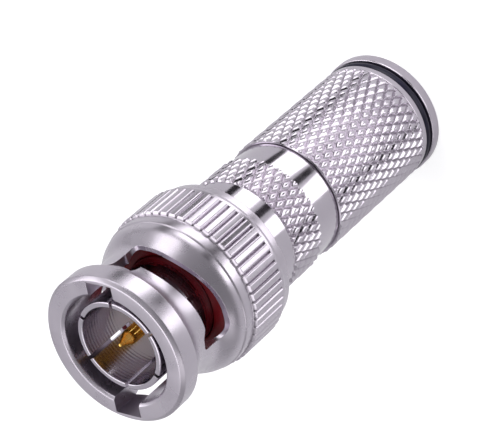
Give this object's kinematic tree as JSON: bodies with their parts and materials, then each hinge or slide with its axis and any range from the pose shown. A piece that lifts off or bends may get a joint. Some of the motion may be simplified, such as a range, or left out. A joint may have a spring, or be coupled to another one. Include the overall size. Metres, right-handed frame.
{
  "type": "bnc compression connector",
  "caption": "Coaxial bayonet plug with a toothed turning nut, a gold centre pin in a slotted outer contact, a knurled body and sleeve, and a rear cap pressed home on the cable.",
  "frame": {"origin": "centre of the rear face, where the plug stands on its cable end", "axes": "+Z along the plug's axis from the cable end to the mating end; one ramp of the bayonet faces -Y"},
  "size_m": [0.0144, 0.0144, 0.0399],
  "materials": {
    "nickel_plate": "bright nickel plate",
    "spring_steel": "plain spring steel",
    "gold_plate": "gold plate",
    "contact_bronze": "plain bronze",
    "white_plastic": "matte moulded plastic",
    "red_silicone": "matte silicone rubber",
    "black_rubber": "satin rubber"
  },
  "bodies": {
    "plug": {"outer_contact": "nickel_plate", "center_pin": "gold_plate", "pin_collet": "contact_bronze", "front_insulator": "white_plastic", "rear_insulator": "white_plastic", "face_gasket": "red_silicone", "knurled_body": "nickel_plate", "body_o_ring": "black_rubber", "inner_post": "nickel_plate", "knurled_sleeve": "nickel_plate", "compression_ferrule": "white_plastic", "wave_washer": "spring_steel"},
    "washer": {"thrust_washer": "spring_steel"},
    "nut": {"coupling_nut": "nickel_plate", "retaining_ring": "spring_steel"},
    "cap": {"compression_cap": "nickel_plate", "cap_o_ring": "black_rubber"}
  },
  "joints": [
    {"name": "nut_pull", "type": "slide", "parent": "plug", "child": "washer", "axis": [0, 0, 1], "range_m": [0, 0.0006], "stiffness_N_per_m": 800, "deforming": ["wave_washer"]},
    {"name": "nut_turn", "type": "hinge", "parent": "washer", "child": "nut", "pos_m": [0, 0, 0.03263], "axis": [0, 0, 1], "continuous": true},
    {"name": "cap_slide", "type": "slide", "parent": "plug", "child": "cap", "axis": [0, 0, -1], "range_m": [0, 0.005]}
  ]
}
